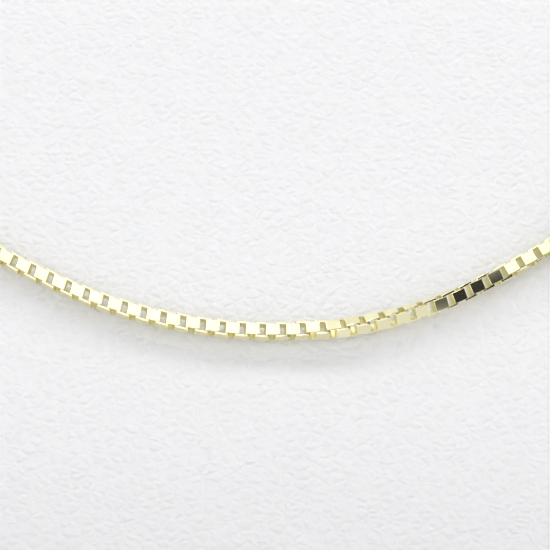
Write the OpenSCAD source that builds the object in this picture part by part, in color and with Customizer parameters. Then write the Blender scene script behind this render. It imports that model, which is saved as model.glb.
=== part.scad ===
// Gold box chain lying on a plain leatherette neck bust.
// Millimetres, +Z up, the chest faces -Y. The origin is the middle of the foot.

/* [Neck bust] */
// Height of the bust
bust_h = 220; // [190:2:250]
// Width across the shoulders
bust_w = 185; // [160:1:215]
// Depth from the chest to the back
bust_d = 118; // [100:1:140]
// Radius of the rim round the flat top of the neck
rim_r = 4; // [1:0.5:8]
// Radius of the edge round the foot
foot_r = 2; // [0.5:0.5:5]
// Rise of the padded top above its rim
top_rise = 1.5; // [0.25:0.25:4]

/* [Box chain] */
// Outer width of a link, across the chain
link_w = 1.5; // [1:0.1:2.2]
// Step at each corner of the chain, where a link meets the turned link beside it
corner_step = 0.2; // [0.05:0.05:0.35]
// Space between the chain and the leatherette under it
lie_gap = 0.25; // [0.1:0.05:0.5]
// Length from the chain's lowest point to where it begins to turn over
turn_start = 2.75; // [0:0.25:20]
// Length of chain over which it turns by a quarter
turn_len = 21.5; // [12:0.5:40]

/* [Clasp] */
// Thickness of the caps' walls round the chain's ends
cap_wall = 0.25; // [0.15:0.05:0.5]
// Length of the caps
cap_len = 3; // [2:0.5:6]
// Diameter of the wire of the rings and eyes
wire_d = 0.6; // [0.4:0.05:0.8]
// Outer diameter of the ring-shaped clasp
clasp_d = 6; // [5.5:0.25:9]
// Thickness of the clasp's round body
clasp_tube_d = 1.3; // [0.9:0.1:1.5]
// Length of the clasp's thumb nub
nub_len = 1; // [0.5:0.25:2]
// Clearance between linked rings where they pull on each other
ring_gap = 0.15; // [0.1:0.01:0.2]
// Further room inside the soldered eyes
eye_play = 0.5; // [0.4:0.05:1]
// Further room inside the two loose rings
ring_play = 0.25; // [0.2:0.05:1]
// Clearance between the chain's ends and their caps
end_gap = 0.03; // [0.01:0.01:0.1]

/* [Hidden] */
$fn = 48;
leatherette = [0.95, 0.95, 0.94];
gold = [0.88, 0.81, 0.47];

// Sections of the bust, each length a share: the height of bust_h, the half width
// of half of bust_w, and the front and back depths of half of bust_d
height = 0;
side = 1;
front = 2;
back = 3;
bust = [
    //height, side, front, back
    [0.000, 0.700, 0.875, 0.900],
    [0.065, 0.762, 0.958, 0.940],
    [0.130, 0.835, 1.000, 0.966],
    [0.195, 0.900, 0.983, 0.983],
    [0.240, 0.940, 0.932, 0.993],
    [0.285, 0.970, 0.864, 1.000],
    [0.340, 0.992, 0.783, 1.000],
    [0.405, 1.000, 0.695, 0.997],
    [0.465, 0.985, 0.610, 0.986],
    [0.530, 0.930, 0.536, 0.963],
    [0.590, 0.828, 0.475, 0.930],
    [0.645, 0.695, 0.434, 0.885],
    [0.700, 0.578, 0.417, 0.848],
    [0.765, 0.504, 0.407, 0.817],
    [0.840, 0.470, 0.414, 0.803],
    [0.920, 0.459, 0.434, 0.800],
    [1.000, 0.459, 0.458, 0.810]
];
// How square the sections are: 2 is an ellipse
squareness = 2.3;
bust_sides = 60;
bust_levels = 34;
edge_steps = 3;
top_steps = 3;

// Half of the chain's route, from its lowest point to the middle of the nape: the
// angle round the bust in degrees, and the height in hundredths of bust_h
route = [
    [0, 26.2], [12.5, 26.95], [24, 29], [34, 32.2], [42.5, 36], [49.5, 40.2],
    [55.5, 44.7], [61, 49.4], [66.5, 54.1], [72.5, 58.4], [80, 62.1], [89, 65],
    [99, 67.4], [109.5, 69.5], [121, 71.4], [134, 73.1], [148, 74.5],
    [163.5, 75.5], [180, 75.8]
];
last_row = len(route) - 1;
measure_steps = 4;
chain_rings = 78;
// Length over which each end of the chain rises to the level of the clasp
rise_len = 15;
// How the chain turns over: share of turn_len, degrees
turn = [
    [0, 0], [0.07, 10], [0.15, 19], [0.24, 30], [0.37, 40], [0.5, 53], [0.71, 64],
    [0.88, 82], [1, 90]
];

strip_w = link_w - 2 * corner_step;
lie_h = lie_gap + link_w / 2;
cap_d = norm([link_w, strip_w]) + 2 * cap_wall;

// Centre lines of the rings: an eye holds a wire, and a loose ring a wire and the clasp
eye_r = wire_d + ring_gap + eye_play / 2;
ring_r = wire_d + (clasp_tube_d + 3 * ring_gap + ring_play) / 2;
// Places along the closure, from the chain's right end
clasp_r = (clasp_d - clasp_tube_d) / 2;
wire_pitch = wire_d + ring_gap;
tube_pitch = (wire_d + clasp_tube_d) / 2 + ring_gap;
right_eye_at = end_gap + cap_len + eye_r;
catch_ring_at = right_eye_at + eye_r - wire_pitch + ring_r;
clasp_at = catch_ring_at + ring_r - tube_pitch + clasp_r;
clasp_eye_at = clasp_at + clasp_r + clasp_tube_d / 2 + eye_r;
jump_ring_at = clasp_eye_at + eye_r - wire_pitch + ring_r;
left_eye_at = jump_ring_at + ring_r - wire_pitch + eye_r;
closure_len = left_eye_at + eye_r + cap_len + end_gap;
cap_middle = right_eye_at / 2;
// The loose rings lean one way, and the eyes in them the other
lean = 45;
ring_rise = ring_r * sin(lean) + wire_d / 2;
closure_h = lie_gap + max(ring_rise, clasp_tube_d / 2, cap_d / 2);
clasp_lean = asin(min(0.7, (closure_h - lie_gap - clasp_tube_d / 2) / clasp_r));

// A smooth curve through column c of a table whose first column rises
function clamp(x, low, high) = min(max(x, low), high);
function ease(x) = let(u = clamp(x, 0, 1)) u * u * (3 - 2 * u);
function slope(t, c, i) =
    i == 0 || i == len(t) - 1 ? 0 : (t[i + 1][c] - t[i - 1][c]) / (t[i + 1][0] - t[i - 1][0]);
function row_at(t, x, i = 0) = i == len(t) - 2 || x < t[i + 1][0] ? i : row_at(t, x, i + 1);
function read(t, c, x) = let(
        i = row_at(t, x),
        gap = t[i + 1][0] - t[i][0],
        u = clamp((x - t[i][0]) / gap, 0, 1)
    ) t[i][c] + (t[i + 1][c] - t[i][c]) * u * u * (3 - 2 * u)
        + gap * slope(t, c, i) * u * (1 - u) * (1 - u)
        - gap * slope(t, c, i + 1) * u * u * (1 - u);

// The bust's surface at angle a round from the front, or inset under it
function depth_at(c, z) = bust_d / 2 * read(bust, c, z / bust_h);
function middle_at(z) = (depth_at(back, z) - depth_at(front, z)) / 2;
function radius_at(a, z, inset) = let(
        across = bust_w / 2 * read(bust, side, z / bust_h) - inset,
        deep = (depth_at(back, z) + depth_at(front, z)) / 2 - inset
    ) pow(pow(abs(sin(a)) / across, squareness) + pow(abs(cos(a)) / deep, squareness), -1 / squareness);
function skin(a, z, inset = 0, share = 1) = let(r = share * radius_at(a, z, inset))
    [r * sin(a), middle_at(z) - r * cos(a), z];
function skin_normal(a, z) = let(
        n = cross(skin(a + 0.5, z) - skin(a - 0.5, z), skin(a, z + 0.5) - skin(a, z - 0.5))
    ) n / norm(n);

// The route's point t rows from the lowest point, on through the nape to the other side
function route_row(i) =
    i < 0 ? let(r = route_row(-i)) [-r[0], r[1]]
    : i > last_row ? let(r = route_row(2 * last_row - i)) [360 - r[0], r[1]]
    : route[i];
function route_at(t) = let(
        i = floor(t),
        u = t - i,
        p = [for (k = [-1:2]) route_row(i + k)]
    ) (2 * p[1] + (p[2] - p[0]) * u + (2 * p[0] - 5 * p[1] + 4 * p[2] - p[3]) * u * u
        + (3 * p[1] - p[0] - 3 * p[2] + p[3]) * u * u * u) / 2;
function lie_point(t, h = lie_h) = let(r = route_at(t), z = r[1] * bust_h / 100)
    skin(r[0], z) + h * skin_normal(r[0], z);

// Length along the route, and the row at a length
lie_points = [for (i = [0:last_row * measure_steps]) lie_point(i / measure_steps)];
function length_to(i) = i == 0 ? 0 : length_to(i - 1) + norm(lie_points[i] - lie_points[i - 1]);
row_at_length = [for (i = [0:last_row * measure_steps]) [length_to(i), i / measure_steps]];
half_loop = length_to(last_row * measure_steps);
chain_end = half_loop - closure_len / 2;
function row_of(s) = s < 0 ? -row_of(-s)
    : s > half_loop ? 2 * last_row - row_of(2 * half_loop - s)
    : lookup(s, row_at_length);

// How far the chain is turned over, how far it stands up, and its frame at a length
function turned(s) = lookup((s - turn_start) / turn_len, turn);
function half_height(s) = link_w / 2 * max(cos(turned(s)), sin(turned(s)))
    + strip_w / 2 * min(cos(turned(s)), sin(turned(s)));
function rise(s) = (closure_h - lie_h) * ease((abs(s) - chain_end + rise_len) / rise_len);
function frame_at(s, h) = let(
        t = row_of(s),
        along = lie_point(t + 0.05) - lie_point(t - 0.05),
        x = along / norm(along),
        r = route_at(t),
        n = skin_normal(r[0], r[1] * bust_h / 100),
        z = (n - x * (x * n)) / norm(n - x * (x * n)),
        y = cross(z, x),
        p = lie_point(t, h)
    ) [[x[0], y[0], z[0], p[0]], [x[1], y[1], z[1], p[1]], [x[2], y[2], z[2], p[2]], [0, 0, 0, 1]];
function placed(m, v) = let(w = m * [v[0], v[1], v[2], 1]) [w[0], w[1], w[2]];
// The frame of a cap, in whose plane the chain ends: side is 1 or -1
function cap_frame(side) = frame_at(side * (chain_end + cap_middle), closure_h);

// Triangles between rings of n points each, outward for rings that run anticlockwise
function band(rings, n) = [
    for (i = [0:rings - 2], j = [0:n - 1], k = [0:1])
        let(a = i * n + j, b = i * n + (j + 1) % n)
        k == 0 ? [a, a + n, b + n] : [a, b + n, b]
];

// The bust: foot edge, body, rim and the low crown of its top
module neck_bust() {
    rim_z = bust_h - top_rise;
    body_h = rim_z - rim_r - foot_r;
    levels = [
        for (i = [0:edge_steps]) let(t = 90 * i / edge_steps)
            [foot_r * (1 - cos(t)), foot_r * (1 - sin(t)), 1],
        for (i = [1:bust_levels]) [foot_r + body_h * i / bust_levels, 0, 1],
        for (i = [1:edge_steps]) let(t = 90 * i / edge_steps)
            [rim_z - rim_r * (1 - sin(t)), rim_r * (1 - cos(t)), 1],
        for (i = [1:top_steps]) let(share = 1 - i / (top_steps + 1))
            [rim_z + top_rise * (1 - share * share), rim_r, share]
    ];
    top = len(levels) * bust_sides;
    points = [
        for (l = levels, j = [0:bust_sides - 1]) skin(360 * j / bust_sides, l[0], l[1], l[2]),
        [0, middle_at(bust_h), bust_h]
    ];
    faces = [
        [for (j = [0:bust_sides - 1]) j],
        each band(len(levels), bust_sides),
        for (j = [0:bust_sides - 1]) [top - bust_sides + j, top, top - bust_sides + (j + 1) % bust_sides]
    ];
    color(leatherette) polyhedron(points, faces);
}

// The chain's outer form: a square with stepped corners, swept along the route
module chain() {
    n = 8;
    s2 = link_w / 2;
    w2 = strip_w / 2;
    outline = [[s2, -w2], [s2, w2], [w2, s2], [-w2, s2], [-s2, w2], [-s2, -w2], [-w2, -s2], [w2, -s2]];
    last = chain_rings - 1;
    points = [
        for (i = [0:last])
            let(
                s = chain_end * (2 * i / last - 1),
                a = turned(s),
                side = i == 0 ? -1 : i == last ? 1 : 0,
                m = side == 0 ? frame_at(s, lie_gap + half_height(s) + rise(s)) : cap_frame(side)
            )
            for (q = outline) placed(m, [
                -side * cap_middle, q[0] * cos(a) - q[1] * sin(a), q[0] * sin(a) + q[1] * cos(a)
            ])
    ];
    faces = [
        [for (j = [0:n - 1]) j],
        each band(chain_rings, n),
        [for (j = [n - 1:-1:0]) last * n + j]
    ];
    color(gold) polyhedron(points, faces);
}

// Places a piece in the closure: x along the chain, z away from the leatherette
module in_closure(at) {
    multmatrix(frame_at(chain_end + at, closure_h)) children();
}

module wire_ring(centre_r, thick, lean) {
    rotate([lean, 0, 0]) rotate_extrude() translate([centre_r, 0]) circle(d = thick);
}

// A cap soldered round the chain's end, with its eye towards +x
module end_cap(lean) {
    chamfer = (cap_d - wire_d) / 4;
    rotate([0, 90, 0]) rotate_extrude() polygon([
        [0, end_gap], [cap_d / 2, end_gap], [cap_d / 2, end_gap + cap_len - chamfer],
        [cap_d / 2 - chamfer, end_gap + cap_len], [0, end_gap + cap_len]
    ]);
    translate([right_eye_at, 0, 0]) wire_ring(eye_r, wire_d, lean);
}

module end_cap_right() {
    color(gold) multmatrix(cap_frame(1)) translate([-cap_middle, 0, 0]) end_cap(lean);
}

module end_cap_left() {
    color(gold) multmatrix(cap_frame(-1)) rotate([0, 0, 180]) translate([-cap_middle, 0, 0]) end_cap(-lean);
}

module catch_ring() {
    color(gold) in_closure(catch_ring_at) wire_ring(ring_r, wire_d, -lean);
}

module jump_ring() {
    color(gold) in_closure(jump_ring_at) wire_ring(ring_r, wire_d, -lean);
}

// The clasp is one plain piece: a round body, a thumb nub and an eye
module clasp() {
    middle = (clasp_at + clasp_eye_at) / 2;
    color(gold) in_closure(middle) {
        translate([clasp_at - middle, 0, 0]) rotate([clasp_lean, 0, 0]) {
            wire_ring(clasp_r, clasp_tube_d, 0);
            rotate([0, 0, 90]) translate([clasp_r, 0, 0]) rotate([0, 90, 0])
                cylinder(h = clasp_tube_d / 2 + nub_len, d = wire_d);
        }
        translate([clasp_eye_at - middle, 0, 0]) wire_ring(eye_r, wire_d, lean);
    }
}

neck_bust();
chain();
end_cap_right();
catch_ring();
clasp();
jump_ring();
end_cap_left();
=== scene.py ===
import math
import random
import bpy
import bmesh
import numpy as np
from mathutils import Matrix, Vector
from mathutils.bvhtree import BVHTree


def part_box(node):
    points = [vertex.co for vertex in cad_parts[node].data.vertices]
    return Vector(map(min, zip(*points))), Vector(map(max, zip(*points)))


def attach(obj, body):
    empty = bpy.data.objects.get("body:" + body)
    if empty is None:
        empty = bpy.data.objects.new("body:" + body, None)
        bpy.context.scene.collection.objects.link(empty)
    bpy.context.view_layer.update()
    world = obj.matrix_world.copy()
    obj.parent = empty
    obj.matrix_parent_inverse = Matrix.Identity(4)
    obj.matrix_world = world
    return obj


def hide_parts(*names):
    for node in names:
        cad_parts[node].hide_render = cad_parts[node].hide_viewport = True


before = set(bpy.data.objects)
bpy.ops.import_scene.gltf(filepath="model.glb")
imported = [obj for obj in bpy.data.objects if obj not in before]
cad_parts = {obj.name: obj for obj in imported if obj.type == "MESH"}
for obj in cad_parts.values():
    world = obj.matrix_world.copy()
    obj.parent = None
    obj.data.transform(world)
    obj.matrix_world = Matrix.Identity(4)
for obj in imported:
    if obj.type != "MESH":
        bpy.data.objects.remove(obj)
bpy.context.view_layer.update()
mm = 0.001
print("frame loaded")


# Small helpers for working in object and edit mode
def clearSelection():
    bpy.ops.object.select_all(action="DESELECT")


def makeActive(piece):
    clearSelection()
    piece.select_set(True)
    bpy.context.view_layer.objects.active = piece


def selectParts(piece, mode, test):
    # selects the edges or faces that pass the test, by their place or normal
    bpy.ops.mesh.select_mode(type=mode)
    bpy.ops.mesh.select_all(action="DESELECT")
    shape = bmesh.from_edit_mesh(piece.data)
    parts = {"EDGE": shape.edges, "FACE": shape.faces}[mode]
    for part in parts:
        part.select_set(test(part))
    shape.select_flush_mode()
    bmesh.update_edit_mesh(piece.data)


def applyModifier(piece, kind, **choices):
    modifier = piece.modifiers.new(kind.lower(), kind)
    for name, value in choices.items():
        setattr(modifier, name, value)
    makeActive(piece)
    bpy.ops.object.modifier_apply(modifier=modifier.name)


# Shader maths: a Wire is a socket that can be added, multiplied and so on
class Wire:
    def __init__(self, graph, socket):
        self.graph = graph
        self.socket = socket

    def maths(self, operation, first, second):
        return self.graph.add("ShaderNodeMath", {"operation": operation}, {0: first, 1: second})

    def __add__(self, other):
        return self.maths("ADD", self, other)

    def __sub__(self, other):
        return self.maths("SUBTRACT", self, other)

    def __rsub__(self, other):
        return self.maths("SUBTRACT", other, self)

    def __mul__(self, other):
        return self.maths("MULTIPLY", self, other)

    __radd__ = __add__
    __rmul__ = __mul__


class Graph:
    def __init__(self, tree):
        self.tree = tree
        tree.nodes.clear()

    def add(self, kind, settings=None, inputs=None, output=0):
        # the settings come first, because some of them change which sockets a node has
        node = self.tree.nodes.new(kind)
        for name, value in (settings or {}).items():
            setattr(node, name, value)
        for name, value in (inputs or {}).items():
            if isinstance(value, Wire):
                self.tree.links.new(value.socket, node.inputs[name])
            else:
                node.inputs[name].default_value = value
        return Wire(self, node.outputs[output]) if node.outputs else None

    def smoothStep(self, value, low, high):
        # 0 below low, 1 above high, eased between
        return self.add("ShaderNodeMapRange", {"interpolation_type": "SMOOTHSTEP"},
                        {"Value": value, "From Min": low, "From Max": high})


def newMaterial(name):
    material = bpy.data.materials.new(name)
    material.use_nodes = True
    return material, Graph(material.node_tree)


def giveMaterial(piece, material):
    piece.data.materials.clear()
    piece.data.materials.append(material)


# White leatherette: rounded pebbles with finer wrinkles over them. Sizes ending in PerMetre are
# pattern cells per metre, and the heights are shares of the relief.
leatherLook = {
    "colour": (0.856, 0.856, 0.869),
    # the creases are painted a little lighter than the pebble tops: a painted highlight along the crease
    # lines
    "creaseHighlightColour": (0.872, 0.872, 0.885),
    "pebblesPerMetre": 860,
    "wrinklesPerMetre": 1300,
    "finePerMetre": 5200,
    "broadPerMetre": 45,
    "flatten": 1.32,        # pebbles are this much wider than they are tall
    "warpPerMetre": 420,
    "warp": 0.3 * mm,
    "pebbleHeight": 0.75,
    "pebbleLean": 0.4,
    "wrinkleHeight": 0.29,
    "fineHeight": 0.04,
    "relief": 0.098 * mm,
    "roughness": 0.5,
    "broadRoughness": 0.05,
    "creaseRoughness": 0.1,
    "specular": 0.35,
    "softWeight": 0.6,      # light spreads a little way under the surface
    "softDepth": 0.7 * mm,
    "softSpread": (1.0, 0.95, 0.9),
}


def makeLeatherette(look):
    material, graph = newMaterial("white_leatherette")
    place = graph.add("ShaderNodeTexCoord", output="Object")
    squashed = graph.add("ShaderNodeVectorMath", {"operation": "MULTIPLY"},
                         {0: place, 1: (1, 1, look["flatten"])})
    drift = graph.add("ShaderNodeTexNoise", None,
                      {"Vector": place, "Scale": look["warpPerMetre"], "Detail": 2}, "Color")
    centred = graph.add("ShaderNodeVectorMath", {"operation": "SUBTRACT"}, {0: drift, 1: (0.5, 0.5, 0.5)})
    push = graph.add("ShaderNodeVectorMath", {"operation": "SCALE"},
                     {0: centred, "Scale": 2 * look["warp"]})
    warped = graph.add("ShaderNodeVectorMath", {"operation": "ADD"}, {0: squashed, 1: push})

    def domes(perMetre):
        # rounded grains with a sharp crease between them
        crease = graph.add("ShaderNodeTexVoronoi", {"feature": "DISTANCE_TO_EDGE"},
                           {"Vector": warped, "Scale": perMetre, "Randomness": 1.0}, "Distance")
        inward = graph.smoothStep(crease, 0, 0.5)
        return inward * (2 - inward)

    def leaning(perMetre):
        # each grain leans its own way, from -0.5 to 0.5
        cell = {"Vector": warped, "Scale": perMetre, "Randomness": 1.0}
        middle = graph.add("ShaderNodeTexVoronoi", {"feature": "F1"}, cell, "Position")
        lean = graph.add("ShaderNodeTexVoronoi", {"feature": "F1"}, cell, "Color")
        offset = graph.add("ShaderNodeVectorMath", {"operation": "SUBTRACT"}, {0: warped, 1: middle})
        slant = graph.add("ShaderNodeVectorMath", {"operation": "SUBTRACT"}, {0: lean, 1: (0.5, 0.5, 0.5)})
        return perMetre * graph.add("ShaderNodeVectorMath", {"operation": "DOT_PRODUCT"},
                                    {0: offset, 1: slant}, "Value")

    pebble = domes(look["pebblesPerMetre"])
    wrinkle = domes(look["wrinklesPerMetre"])
    fine = graph.add("ShaderNodeTexNoise", None,
                     {"Vector": place, "Scale": look["finePerMetre"], "Detail": 3}, "Fac")
    height = (look["pebbleHeight"] * pebble + look["pebbleLean"] * leaning(look["pebblesPerMetre"])
              + look["wrinkleHeight"] * wrinkle + look["fineHeight"] * fine)
    bump = graph.add("ShaderNodeBump", None,
                     {"Height": height, "Distance": look["relief"], "Strength": 1.0})
    broad = graph.add("ShaderNodeTexNoise", None,
                      {"Vector": place, "Scale": look["broadPerMetre"], "Detail": 2}, "Fac")
    # sockets 6 and 7 of a Mix node take its two colours, and its output 2 gives the mixed one
    # the creases take the lighter crease colour, a painted highlight over the shade the bump gives them
    colour = graph.add("ShaderNodeMix", {"data_type": "RGBA"},
                       {"Factor": pebble, 6: (*look["creaseHighlightColour"], 1), 7: (*look["colour"], 1)}, 2)
    roughness = (look["roughness"] + look["broadRoughness"] * (broad - 0.5)
                 + look["creaseRoughness"] * (1 - pebble))
    shader = graph.add("ShaderNodeBsdfPrincipled", None,
                       {"Base Color": colour, "Roughness": roughness, "Normal": bump,
                        "Specular IOR Level": look["specular"], "Subsurface Weight": look["softWeight"],
                        "Subsurface Radius": look["softSpread"], "Subsurface Scale": look["softDepth"]})
    graph.add("ShaderNodeOutputMaterial", None, {"Surface": shader})
    return material


goldLook = {
    "colour": (0.94, 0.89, 0.59),
    "insideColour": (0.95, 0.9, 0.56),
    "roughness": 0.1,
    "insideRoughness": 0.42,   # the insides and ends of the links aren't polished
    "scuff": 0.05,
    "scuffsPerMetre": 1500,
    "dentsPerMetre": 900,
    "dentDepth": 0.01 * mm,
    "dentStrength": 0.5,
}


def makeGold(look, name, colour, roughness):
    material, graph = newMaterial(name)
    place = graph.add("ShaderNodeTexCoord", output="Object")
    smear = graph.add("ShaderNodeTexNoise", None,
                      {"Vector": place, "Scale": look["scuffsPerMetre"], "Detail": 3}, "Fac")
    dents = graph.add("ShaderNodeTexNoise", None,
                      {"Vector": place, "Scale": look["dentsPerMetre"], "Detail": 1}, "Fac")
    roughness = roughness + look["scuff"] * smear
    bump = graph.add("ShaderNodeBump", None,
                     {"Height": dents, "Distance": look["dentDepth"], "Strength": look["dentStrength"]})
    shader = graph.add("ShaderNodeBsdfPrincipled", None,
                       {"Base Color": (*colour, 1), "Metallic": 1.0, "Roughness": roughness,
                        "Normal": bump})
    graph.add("ShaderNodeOutputMaterial", None, {"Surface": shader})
    return material


# The neck bust: the frame's facets merged into one skin and rounded
bustShape = {
    "weld": 0.001 * mm,
    "levels": 2,
    # two triangles become one four-sided face where they are this flat and square, in degrees
    "quadFlatness": 40,
    "quadSquareness": 60,
}


def makeBust(shape):
    piece = bpy.data.objects.new("bust_cover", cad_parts["neck_bust"].data.copy())
    bpy.context.scene.collection.objects.link(piece)
    makeActive(piece)
    bpy.ops.mesh.customdata_custom_splitnormals_clear()
    bpy.ops.object.mode_set(mode="EDIT")
    bpy.ops.mesh.select_all(action="SELECT")
    bpy.ops.mesh.remove_doubles(threshold=shape["weld"])
    bpy.ops.mesh.tris_convert_to_quads(face_threshold=math.radians(shape["quadFlatness"]),
                                       shape_threshold=math.radians(shape["quadSquareness"]))
    bpy.ops.mesh.normals_make_consistent(inside=False)
    bpy.ops.mesh.mark_sharp(clear=True)
    bpy.ops.object.mode_set(mode="OBJECT")
    applyModifier(piece, "SUBSURF", levels=shape["levels"], render_levels=shape["levels"])
    makeActive(piece)
    bpy.ops.object.shade_smooth()
    return piece


# The chain: where it lies, and one link of it
chainShape = {
    # angle round the bust in degrees, height in hundredths of the bust's height
    "route": [
        (0, 26.2), (12.5, 26.95), (24, 29), (34, 32.2), (42.5, 36), (49.5, 40.2),
        (55.5, 44.7), (61, 49.4), (66.5, 54.1), (72.5, 58.4), (80, 62.1), (89, 65),
        (99, 67.4), (109.5, 69.5), (121, 71.4), (134, 73.1), (148, 74.5),
        (163.5, 75.5), (180, 75.8),
    ],
    "routeStep": 0.05,         # share of the way from one row of the route to the next
    # the bust's slope is felt this far to each side of a point: degrees, height
    "slopeAngle": 1.5,
    "slopeHeight": 1.5 * mm,
    "linkLength": 1.36 * mm,
    "linkWidth": 1.5 * mm,
    "stripWidth": 1.08 * mm,
    "wall": 0.19 * mm,
    "bend": 0.06 * mm,
    "edge": 0.02 * mm,
    "near": 0.01 * mm,         # corners this close to a plane of the link lie on it
    "facing": 0.9,             # a face looks along an axis when its normal is over this
    "sharp": 0.3,              # an edge stays sharp when its faces' normals differ by more
    "firstLink": -1.55 * mm,   # a link whose plate faces out, measured from the lowest point
    # how far the next link is, the chain being drawn out a little at the sides: length, pitch
    "pitch": [(-25, 0.96), (-15, 0.945), (-6, 0.93), (6, 0.935), (15, 0.95), (20, 0.975), (25, 0.98),
              (40, 0.95)],
    "sway": 1.5,               # degrees, every second link the other way
    # the links lean over in the face of the chain, and turn their left ends up: length, degrees
    "skew": [(-40, 0), (-22, 9), (-18.6, 10), (-15.8, 8.5), (-13, 7), (-10.2, 6), (-7.4, 4), (-4.6, 2),
             (-1.9, 0), (1, -1), (24, 0)],
    "yaw": [(-40, 0), (-22, 6), (2, 5), (9, 0)],
    # the chain hangs a little lower where it turns over: length, drop
    "sag": [(-45, 0), (-22, -0.33), (-17, -0.16), (-11, -0.05), (-6, 0), (0, 0.03), (3, 0.09), (4.5, 0.2),
            (6, 0.3), (9, 0.35), (12, 0.3), (15, 0.26), (17, 0.2), (20, 0.05), (22, 0), (25, -0.12), (45, 0)],
    "lieGap": 0.28 * mm,
    # the chain turns over to the right of its lowest point: share of turnLength, degrees
    "turn": [(0, 0), (0.07, 10), (0.15, 19), (0.24, 30), (0.37, 40), (0.5, 53), (0.71, 64),
             (0.88, 82), (1, 90)],
    "turnStart": 2.75 * mm,
    "turnLength": 21.5 * mm,
    "riseLength": 15 * mm,
    "lookAhead": 0.4 * mm,     # the chain's direction is felt this far before and after a link
    # links are added until the last one's middle is this close to the end of the frame's tube,
    # so it reaches a little way into its cap
    "endMargin": 1.2 * mm,
    "endCorners": 24,          # corners of the frame's tube that mark its end
    "looseness": 1.2,          # degrees that a link may lean in its neighbours
    "seed": 7,
}


def makeLink(shape, gold, insideGold):
    # a ring bent from flat strip: x along the chain, y through its hole, z across the chain
    clearSelection()
    bpy.ops.mesh.primitive_cube_add(size=1, location=(0, 0, 0))
    link = bpy.context.active_object
    link.name = "link"
    link.data.materials.append(gold)
    link.data.materials.append(insideGold)
    halfLength = shape["linkLength"] / 2
    halfWidth = shape["linkWidth"] / 2
    halfStrip = shape["stripWidth"] / 2
    halfWall = shape["wall"] / 2
    near = shape["near"]
    facing = shape["facing"]
    bpy.ops.object.mode_set(mode="EDIT")
    bpy.ops.transform.resize(value=(2 * halfLength, 2 * halfStrip, 2 * halfWidth))
    selectParts(link, "FACE", lambda face: abs(face.normal.y) > facing)
    bpy.ops.mesh.delete(type="FACE")
    bpy.ops.object.mode_set(mode="OBJECT")
    applyModifier(link, "SOLIDIFY", thickness=shape["wall"], offset=-1, use_even_offset=True,
                  material_offset=1)

    def onBend(edge):
        return all(abs(abs(v.co.x) - halfLength) < near and abs(abs(v.co.z) - halfWidth) < near
                   for v in edge.verts)

    def onRim(edge):
        flat = all(abs(abs(v.co.y) - halfStrip) < near for v in edge.verts)
        outer = all(abs(v.co.x) > halfLength - halfWall or abs(v.co.z) > halfWidth - halfWall
                    for v in edge.verts)
        return flat and outer and abs(edge.verts[0].co.y - edge.verts[1].co.y) < near

    bpy.ops.object.mode_set(mode="EDIT")
    selectParts(link, "EDGE", onBend)
    bpy.ops.mesh.bevel(offset=shape["bend"], offset_type="OFFSET", segments=3, affect="EDGES")
    selectParts(link, "EDGE", onRim)
    bpy.ops.mesh.bevel(offset=shape["edge"], offset_type="OFFSET", segments=1, affect="EDGES")
    bpy.ops.mesh.select_all(action="SELECT")
    bpy.ops.mesh.normals_make_consistent(inside=False)
    selectParts(link, "EDGE", lambda edge: len(edge.link_faces) == 2 and
                abs(abs(edge.link_faces[0].normal.y) - abs(edge.link_faces[1].normal.y)) > shape["sharp"])
    bpy.ops.mesh.mark_sharp()
    # the two end walls take the inside gold
    selectParts(link, "FACE", lambda face: abs(face.normal.x) > facing and
                abs(face.calc_center_median().x) > halfLength - near)
    link.active_material_index = 1
    bpy.ops.object.material_slot_assign()
    bpy.ops.object.mode_set(mode="OBJECT")
    bpy.ops.object.shade_smooth()
    print("link faces", len(link.data.polygons))
    return link


def routeAt(route, t):
    # the point t rows from the lowest one, on through the nape to the other side
    last = len(route) - 1

    def row(index):
        if index < 0:
            angle, height = row(-index)
            return (-angle, height)
        if index > last:
            angle, height = row(2 * last - index)
            return (360 - angle, height)
        return route[index]

    i = math.floor(t)
    u = t - i
    a, b, c, d = (np.array(row(i + k), float) for k in (-1, 0, 1, 2))
    return (2 * b + (c - a) * u + (2 * a - 5 * b + 4 * c - d) * u ** 2 + (3 * b - a - 3 * c + d) * u ** 3) / 2


def layRoute(shape, bust):
    # points of the bust's surface along the route, and the directions away from it
    skin = BVHTree.FromObject(bust, bpy.context.evaluated_depsgraph_get())
    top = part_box("neck_bust")[1].z
    aside, rise = shape["slopeAngle"], shape["slopeHeight"]

    def skinPoint(angle, height):
        middle = sum(skin.ray_cast(Vector((0, 0, height)), Vector((0, side, 0)))[0].y for side in (-1, 1)) / 2
        turn = math.radians(angle)
        ray = Vector((math.sin(turn), -math.cos(turn), 0))
        return skin.ray_cast(Vector((0, middle, height)), ray)[0]

    last = len(shape["route"]) - 1
    points, normals = [], []
    for t in np.arange(-last, last + shape["routeStep"] / 2, shape["routeStep"]):
        angle, height = routeAt(shape["route"], t)
        height *= top / 100
        across = skinPoint(angle + aside, height) - skinPoint(angle - aside, height)
        upward = skinPoint(angle, height + rise) - skinPoint(angle, height - rise)
        points.append(skinPoint(angle, height))
        normals.append(across.cross(upward).normalized())
    return np.array(points), np.array(normals)


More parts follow.
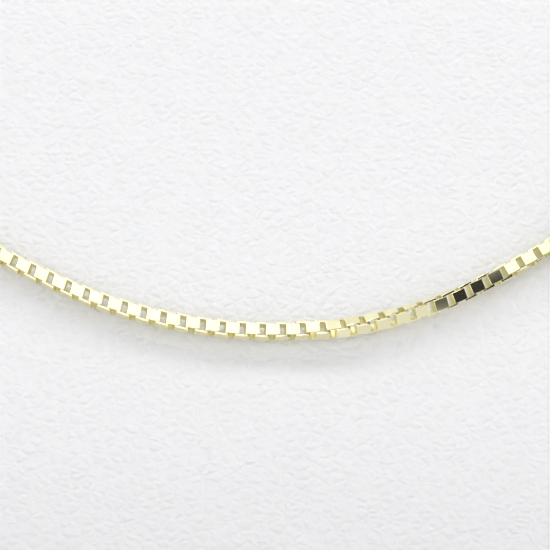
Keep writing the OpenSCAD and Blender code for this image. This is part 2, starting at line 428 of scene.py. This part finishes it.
def makeChain(shape, bust, gold, insideGold):
    points, normals = layRoute(shape, bust)
    centre = points + normals * (shape["lieGap"] + shape["linkWidth"] / 2)
    steps = np.linalg.norm(np.diff(centre, axis=0), axis=1)
    length = np.concatenate([[0], np.cumsum(steps)])
    length -= length[-1] / 2

    # each end of the chain rises into its cap
    tube = np.array([v.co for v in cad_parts["chain"].data.vertices])
    ends = {}
    for side, name in ((-1, "end_cap_left"), (1, "end_cap_right")):
        cap = np.array([v.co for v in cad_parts[name].data.vertices])
        order = np.argsort(np.linalg.norm(tube - cap.mean(0), axis=1))
        tubeEnd = tube[order[:shape["endCorners"]]].mean(0)
        index = np.argmin(np.linalg.norm(centre - tubeEnd, axis=1))
        ends[side] = (length[index], float(np.dot(tubeEnd - points[index], normals[index])))

    half = shape["linkWidth"] / 2
    strip = shape["stripWidth"] / 2
    ahead = shape["lookAhead"]

    def placeAt(s):
        # the spot of a link, the way the chain runs there, the way off the bust, and how far it has turned
        endLength, endHeight = ends[-1 if s < 0 else 1]
        turned = np.interp((s - shape["turnStart"]) / shape["turnLength"], *zip(*shape["turn"]))
        lean = math.radians(turned)
        reach = half * max(math.cos(lean), math.sin(lean)) + strip * min(math.cos(lean), math.sin(lean))
        u = min(max((abs(s) - abs(endLength) + shape["riseLength"]) / shape["riseLength"], 0), 1)
        rise = (endHeight - half - shape["lieGap"]) * u * u * (3 - 2 * u)

        def centreLine(at):
            base = Vector([np.interp(at, length, points[:, k]) for k in range(3)])
            up = Vector([np.interp(at, length, normals[:, k]) for k in range(3)]).normalized()
            onward = Vector([np.interp(at + ahead, length, points[:, k]) for k in range(3)])
            drop = np.interp(at / mm, *zip(*shape["sag"])) * mm
            base += up.cross(base - onward).normalized() * drop
            return base + up * (shape["lieGap"] + reach + rise), up

        spot, up = centreLine(s)
        along = (centreLine(s + ahead)[0] - centreLine(s - ahead)[0]).normalized()
        up = (up - along * up.dot(along)).normalized()
        return spot, along, up, lean

    def tableAt(name, s):
        return float(np.interp(s / mm, *zip(*shape[name])))

    link = makeLink(shape, gold, insideGold)
    dice = random.Random(shape["seed"])

    places = [shape["firstLink"]]
    while places[-1] < ends[1][0] - shape["endMargin"]:
        places.append(places[-1] + tableAt("pitch", places[-1]) * mm)
    backward = 0
    while places[0] > ends[-1][0] + shape["endMargin"]:
        places.insert(0, places[0] - tableAt("pitch", places[0]) * mm)
        backward += 1

    clearSelection()
    copies = []
    for index, reached in enumerate(places):
        number = index - backward
        spot, along, up, lean = placeAt(reached)
        loose = [math.radians(dice.uniform(-1, 1) * shape["looseness"]) for k in range(3)]
        sway = math.radians(shape["sway"]) * (-1 if number % 2 else 1)
        skew = Matrix.Identity(3)
        skew[0][1] = -math.tan(math.radians(tableAt("skew", reached)))
        yaw = math.radians(tableAt("yaw", reached))
        flat = Matrix((along, up.cross(along), up)).transposed()
        quarter = math.pi / 2 if number % 2 else 0
        turn = Matrix.Rotation(quarter - lean + loose[0], 3, "X")
        wobble = Matrix.Rotation(loose[1] + yaw, 3, "Y") @ Matrix.Rotation(loose[2] + sway, 3, "Z")
        matrix = Matrix.Translation(spot) @ (flat @ skew @ wobble @ turn).to_4x4()
        mesh = link.data.copy()
        mesh.transform(matrix)
        copy = bpy.data.objects.new("link_copy", mesh)
        bpy.context.scene.collection.objects.link(copy)
        copies.append(copy)
    bpy.data.objects.remove(link)
    for copy in copies:
        copy.select_set(True)
    bpy.context.view_layer.objects.active = copies[0]
    bpy.ops.object.join()
    chain = bpy.context.active_object
    chain.name = "chain_links"
    applyModifier(chain, "WEIGHTED_NORMAL", mode="FACE_AREA", weight=50, keep_sharp=True)
    print("links", len(copies), "faces", len(chain.data.polygons))
    lowest = placeAt(0)[0]
    return chain, lowest


leatherette = makeLeatherette(leatherLook)
gold = makeGold(goldLook, "pale_gold", goldLook["colour"], goldLook["roughness"])
insideGold = makeGold(goldLook, "pale_gold_inside", goldLook["insideColour"], goldLook["insideRoughness"])
print("materials mixed")

bust = makeBust(bustShape)
giveMaterial(bust, leatherette)
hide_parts("neck_bust")
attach(bust, "root")
print("bust covered")

chain, lowestPoint = makeChain(chainShape, bust, gold, insideGold)
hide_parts("chain")
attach(chain, "root")
print("chain laid")

for name in ("end_cap_right", "catch_ring", "clasp", "jump_ring", "end_cap_left"):
    giveMaterial(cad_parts[name], gold)
print("clasp, rings and caps finished")

# The studio: a pale floor, soft light from above, and the camera
floorLook = {"radius": 0.24, "corners": 128, "colour": (0.72, 0.72, 0.72), "roughness": 0.8}


def makeFloor(look):
    clearSelection()
    bpy.ops.mesh.primitive_circle_add(vertices=look["corners"], radius=look["radius"], fill_type="NGON",
                                      location=(0, 0, 0))
    floor = bpy.context.active_object
    floor.name = "floor"
    material, graph = newMaterial("pale_floor")
    shader = graph.add("ShaderNodeBsdfPrincipled", None,
                       {"Base Color": (*look["colour"], 1), "Roughness": look["roughness"]})
    graph.add("ShaderNodeOutputMaterial", None, {"Surface": shader})
    giveMaterial(floor, material)


# Soft studio light all round: brighter in front, to the right and above the camera, dark in a patch
# to the right of it and high up at the sides, and dimmer overhead, behind the bust and low down.
# Each patch rises between its first two steps and falls between its last two. Heights and angles
# are in degrees, the angles from the camera's side.
studioLook = {
    "all": 1.14,
    "front": {"height": (-20, -12, 24, 33), "across": (-22, -12, 10, 18), "gain": 0.72},
    "right": {"height": (-25, -10, 20, 30), "across": (46, 56, 95, 115), "gain": 0.57},
    "aboveCamera": {"height": (31, 37, 46, 56), "across": (-16, -8, 24, 32), "gain": 0.4},
    "above": {"height": (50, 60, 72, 80), "across": (-26, -16, 40, 52), "gain": 0.35},
    "hole": {"height": (-22, -11, 30, 40), "across": (11, 19, 45, 55), "gain": -1.11},
    "highLeft": {"height": (20, 30, 60, 76), "across": (-110, -90, -20, -11), "gain": -1.1},
    "highRight": {"height": (24, 32, 60, 76), "across": (26, 35, 100, 120), "gain": -1.1},
    "overhead": {"height": (68, 78, 91, 92), "across": (-182, -181, 181, 182), "gain": -0.24},
    # these two go by the angle's size, so they are the same on both sides
    "behind": {"height": (-91, -90, 38, 52), "across": (105, 140, 181, 182), "gain": -0.5},
    "below": {"height": (-91, -90, -30, -19), "across": (-1, -0.5, 181, 182), "gain": -0.4},
    # two long lamps overhead, one on each side: places are from the chain's lowest point
    "lamps": {"places": [(-0.52, -0.2, 1.18), (0.62, -0.2, 1.18)], "long": [0.85, 0.65], "wide": 0.26,
              "power": [4.6, 4.4]},
    "glossyBounces": 10,       # light is thrown about inside the links
}


def makeStudioLight(look, target):
    world = bpy.data.worlds.new("studio")
    bpy.context.scene.world = world
    world.use_nodes = True
    graph = Graph(world.node_tree)
    way = graph.add("ShaderNodeTexCoord", output="Generated")
    x, y, z = (graph.add("ShaderNodeSeparateXYZ", None, {0: way}, k) for k in range(3))
    height = math.degrees(1) * z.maths("ARCSINE", z, 0)
    across = math.degrees(1) * x.maths("ARCTAN2", x, -1 * y)

    def between(value, steps):
        # rises from the first step to the second, and falls from the third to the last
        return graph.smoothStep(value, steps[0], steps[1]) * graph.smoothStep(value, steps[3], steps[2])

    def patch(name, angle):
        zone = look[name]
        return zone["gain"] * between(height, zone["height"]) * between(angle, zone["across"])

    light = look["all"]
    for name in ("front", "right", "aboveCamera", "above", "hole", "highLeft", "highRight", "overhead"):
        light = light + patch(name, across)
    turned = across.maths("ABSOLUTE", across, 0)
    for name in ("behind", "below"):
        light = light + patch(name, turned)
    light = light.maths("MAXIMUM", light, 0)
    background = graph.add("ShaderNodeBackground", None, {"Color": (1, 1, 1, 1), "Strength": light})
    graph.add("ShaderNodeOutputWorld", None, {"Surface": background})

    lamps = look["lamps"]
    for number, place in enumerate(lamps["places"]):
        name = "overhead_lamp_%d" % number
        data = bpy.data.lights.new(name, "AREA")
        data.shape = "RECTANGLE"
        data.size = lamps["long"][number]
        data.size_y = lamps["wide"]
        data.energy = lamps["power"][number]
        lamp = bpy.data.objects.new(name, data)
        bpy.context.scene.collection.objects.link(lamp)
        lamp.location = target + Vector(place)
    bpy.context.scene.cycles.glossy_bounces = look["glossyBounces"]


# Azimuth and elevation in degrees. The camera aims to the right of the chain's lowest point and above it.
photoView = {
    "azimuth": -2,
    "elevation": 0.8,
    "lens": 300,
    "sensor": 36,
    "widthShown": 51.1 * mm,
    "aimRight": 0.59 * mm,
    "aimUp": 5.26 * mm,
    "clipStart": 10 * mm,
}


def makeCamera(look, target):
    data = bpy.data.cameras.new("camera")
    data.lens = look["lens"]
    data.sensor_width = look["sensor"]
    data.clip_start = look["clipStart"]
    camera = bpy.data.objects.new("camera", data)
    bpy.context.scene.collection.objects.link(camera)
    tilt = math.radians(look["elevation"])
    turn = math.radians(look["azimuth"])
    right = Vector((math.cos(turn), math.sin(turn), 0))
    away = Vector((math.sin(turn) * math.cos(tilt), -math.cos(turn) * math.cos(tilt), math.sin(tilt)))
    upward = away.cross(right)
    aim = target + right * look["aimRight"] + upward * look["aimUp"]
    distance = look["widthShown"] * look["lens"] / look["sensor"]
    camera.location = aim + away * distance
    camera.rotation_mode = "QUATERNION"
    camera.rotation_quaternion = (-away).to_track_quat("-Z", "Y")
    bpy.context.scene.camera = camera


makeFloor(floorLook)
makeStudioLight(studioLook, lowestPoint)
makeCamera(photoView, lowestPoint)
bpy.context.scene.view_settings.view_transform = "Standard"
print("studio set")
